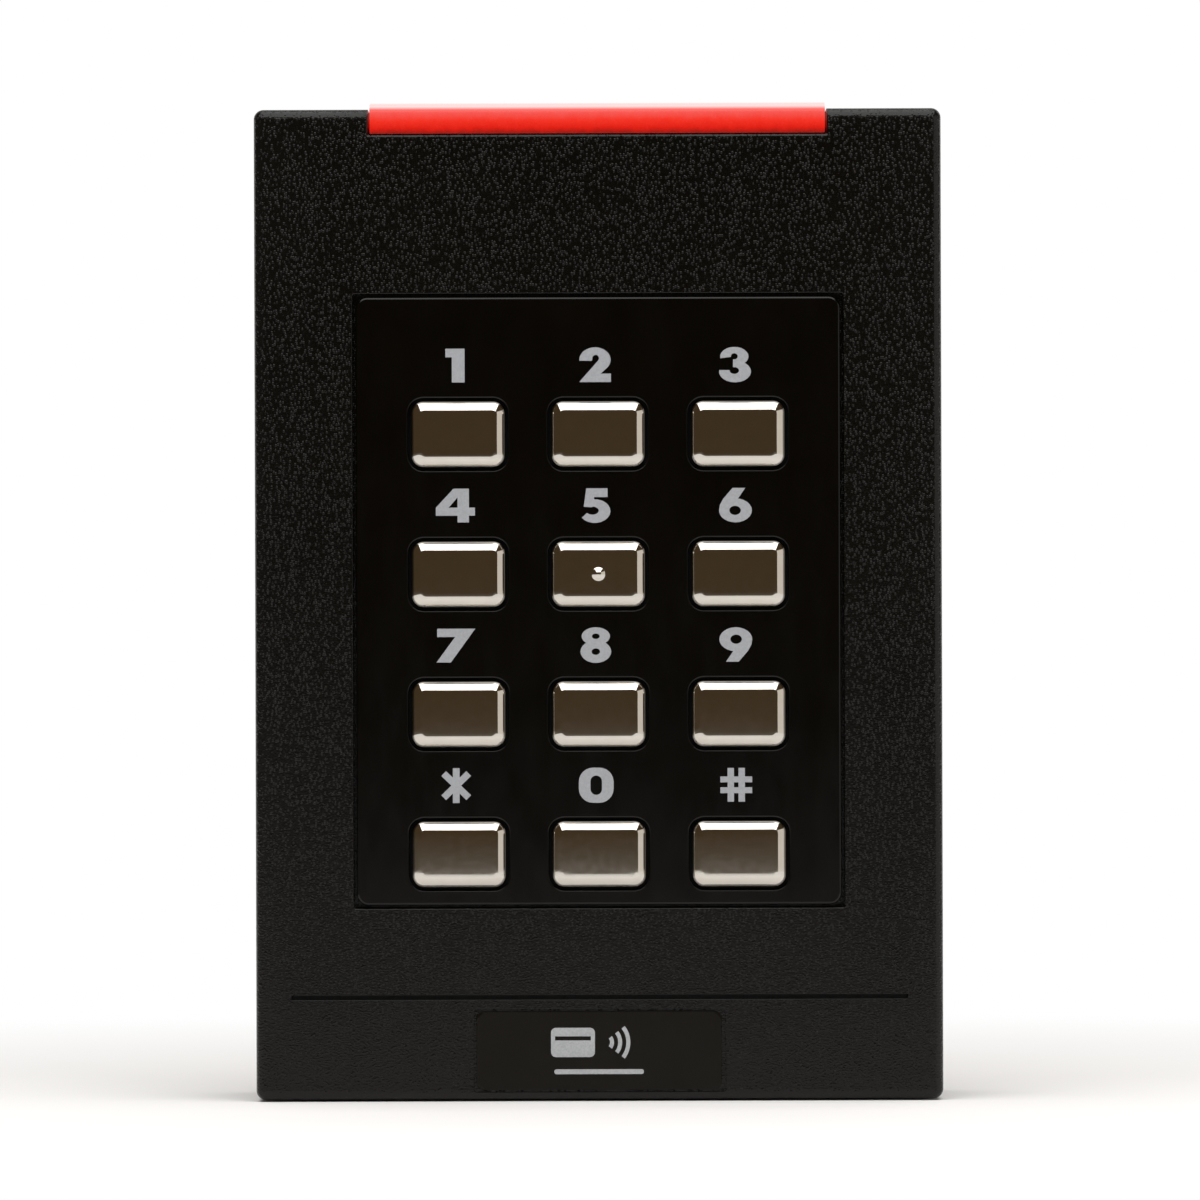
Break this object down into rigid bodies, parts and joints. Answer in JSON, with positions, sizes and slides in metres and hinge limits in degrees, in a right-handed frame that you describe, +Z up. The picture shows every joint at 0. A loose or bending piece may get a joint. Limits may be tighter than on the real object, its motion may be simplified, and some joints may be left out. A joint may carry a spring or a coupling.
{
  "type": "keypad access reader",
  "caption": "Wall-mounted contactless access reader with a twelve-key keypad, a red light bar and a rear mounting plate.",
  "frame": {"origin": "centre of the mounting plate's wall face, midway between the two single-gang holes", "axes": "+Z up the wall, +X to the right as seen from the front, +Y into the wall, so the keypad faces -Y"},
  "size_m": [0.0844, 0.0281, 0.1226],
  "materials": {
    "housing_plastic": "fine moulded pebble texture, dark warm grey",
    "bezel_plastic": "smooth satin black",
    "key_plating": "polished nickel-chrome plating on a hard plastic cap",
    "light_pipe": "translucent red, lit from inside",
    "legend_print": "light grey screen print",
    "label_face": "smooth black film",
    "label_print": "silver-grey print",
    "gasket_foam": "adhesive foam",
    "silicone": "grey silicone rubber",
    "circuit_board": "green solder mask on glass-fibre board",
    "copper_trace": "etched copper under varnish",
    "coil_wire": "enamelled copper wire, taped",
    "gold_plating": "gold-plated contacts",
    "steel": "zinc-plated steel",
    "brass": "turned brass",
    "component_plastic": "moulded black epoxy",
    "component_can": "drawn metal can",
    "chip_ceramic": "tan ceramic chips",
    "lamp_resin": "white lamp body",
    "terminal_plastic": "green nylon",
    "potting_resin": "poured black resin",
    "plate_plastic": "moulded black plastic"
  },
  "bodies": {
    "root": {"front_housing": "housing_plastic", "light_bar": "light_pipe", "keypad_bezel": "bezel_plastic", "bezel_gasket": "gasket_foam", "key_legends": "legend_print", "label_plate": "label_face", "label_emblem": "label_print", "keypad_mat": "silicone", "dome_skirts": "silicone", "contact_pads": "gold_plating", "keypad_board": "circuit_board", "keypad_screws": "steel", "board_socket": "component_plastic", "board_header": "component_plastic", "header_pins": "gold_plating", "main_board": "circuit_board", "board_screws": "steel", "antenna_coil": "coil_wire", "hf_antenna_trace": "copper_trace", "status_leds": "lamp_resin", "microcontroller": "component_plastic", "rf_chip": "component_plastic", "crystal": "component_can", "smd_passives": "chip_ceramic", "filter_capacitors": "component_can", "power_inductor": "component_plastic", "beeper": "component_plastic", "tamper_sensor": "component_plastic", "terminal_block": "terminal_plastic", "terminal_screws": "steel", "terminal_cages": "brass", "potting_fill": "potting_resin", "mounting_plate": "plate_plastic", "threaded_insert": "brass", "cover_screw": "steel"},
    "key_1": {"keycap_1": "key_plating", "plunger_1": "silicone"},
    "key_2": {"keycap_2": "key_plating", "plunger_2": "silicone"},
    "key_3": {"keycap_3": "key_plating", "plunger_3": "silicone"},
    "key_4": {"keycap_4": "key_plating", "plunger_4": "silicone"},
    "key_5": {"keycap_5": "key_plating", "plunger_5": "silicone"},
    "key_6": {"keycap_6": "key_plating", "plunger_6": "silicone"},
    "key_7": {"keycap_7": "key_plating", "plunger_7": "silicone"},
    "key_8": {"keycap_8": "key_plating", "plunger_8": "silicone"},
    "key_9": {"keycap_9": "key_plating", "plunger_9": "silicone"},
    "key_star": {"keycap_star": "key_plating", "plunger_star": "silicone"},
    "key_0": {"keycap_0": "key_plating", "plunger_0": "silicone"},
    "key_hash": {"keycap_hash": "key_plating", "plunger_hash": "silicone"}
  },
  "joints": [
    {"name": "key_1_press", "type": "slide", "parent": "root", "child": "key_1", "axis": [0, 1, 0], "range_m": [0, 0.0012], "stiffness_N_per_m": 1000, "springref_m": -0.0005, "deforming": ["dome_skirts"]},
    {"name": "key_2_press", "type": "slide", "parent": "root", "child": "key_2", "axis": [0, 1, 0], "range_m": [0, 0.0012], "stiffness_N_per_m": 1000, "springref_m": -0.0005, "deforming": ["dome_skirts"]},
    {"name": "key_3_press", "type": "slide", "parent": "root", "child": "key_3", "axis": [0, 1, 0], "range_m": [0, 0.0012], "stiffness_N_per_m": 1000, "springref_m": -0.0005, "deforming": ["dome_skirts"]},
    {"name": "key_4_press", "type": "slide", "parent": "root", "child": "key_4", "axis": [0, 1, 0], "range_m": [0, 0.0012], "stiffness_N_per_m": 1000, "springref_m": -0.0005, "deforming": ["dome_skirts"]},
    {"name": "key_5_press", "type": "slide", "parent": "root", "child": "key_5", "axis": [0, 1, 0], "range_m": [0, 0.0012], "stiffness_N_per_m": 1000, "springref_m": -0.0005, "deforming": ["dome_skirts"]},
    {"name": "key_6_press", "type": "slide", "parent": "root", "child": "key_6", "axis": [0, 1, 0], "range_m": [0, 0.0012], "stiffness_N_per_m": 1000, "springref_m": -0.0005, "deforming": ["dome_skirts"]},
    {"name": "key_7_press", "type": "slide", "parent": "root", "child": "key_7", "axis": [0, 1, 0], "range_m": [0, 0.0012], "stiffness_N_per_m": 1000, "springref_m": -0.0005, "deforming": ["dome_skirts"]},
    {"name": "key_8_press", "type": "slide", "parent": "root", "child": "key_8", "axis": [0, 1, 0], "range_m": [0, 0.0012], "stiffness_N_per_m": 1000, "springref_m": -0.0005, "deforming": ["dome_skirts"]},
    {"name": "key_9_press", "type": "slide", "parent": "root", "child": "key_9", "axis": [0, 1, 0], "range_m": [0, 0.0012], "stiffness_N_per_m": 1000, "springref_m": -0.0005, "deforming": ["dome_skirts"]},
    {"name": "key_star_press", "type": "slide", "parent": "root", "child": "key_star", "axis": [0, 1, 0], "range_m": [0, 0.0012], "stiffness_N_per_m": 1000, "springref_m": -0.0005, "deforming": ["dome_skirts"]},
    {"name": "key_0_press", "type": "slide", "parent": "root", "child": "key_0", "axis": [0, 1, 0], "range_m": [0, 0.0012], "stiffness_N_per_m": 1000, "springref_m": -0.0005, "deforming": ["dome_skirts"]},
    {"name": "key_hash_press", "type": "slide", "parent": "root", "child": "key_hash", "axis": [0, 1, 0], "range_m": [0, 0.0012], "stiffness_N_per_m": 1000, "springref_m": -0.0005, "deforming": ["dome_skirts"]}
  ]
}
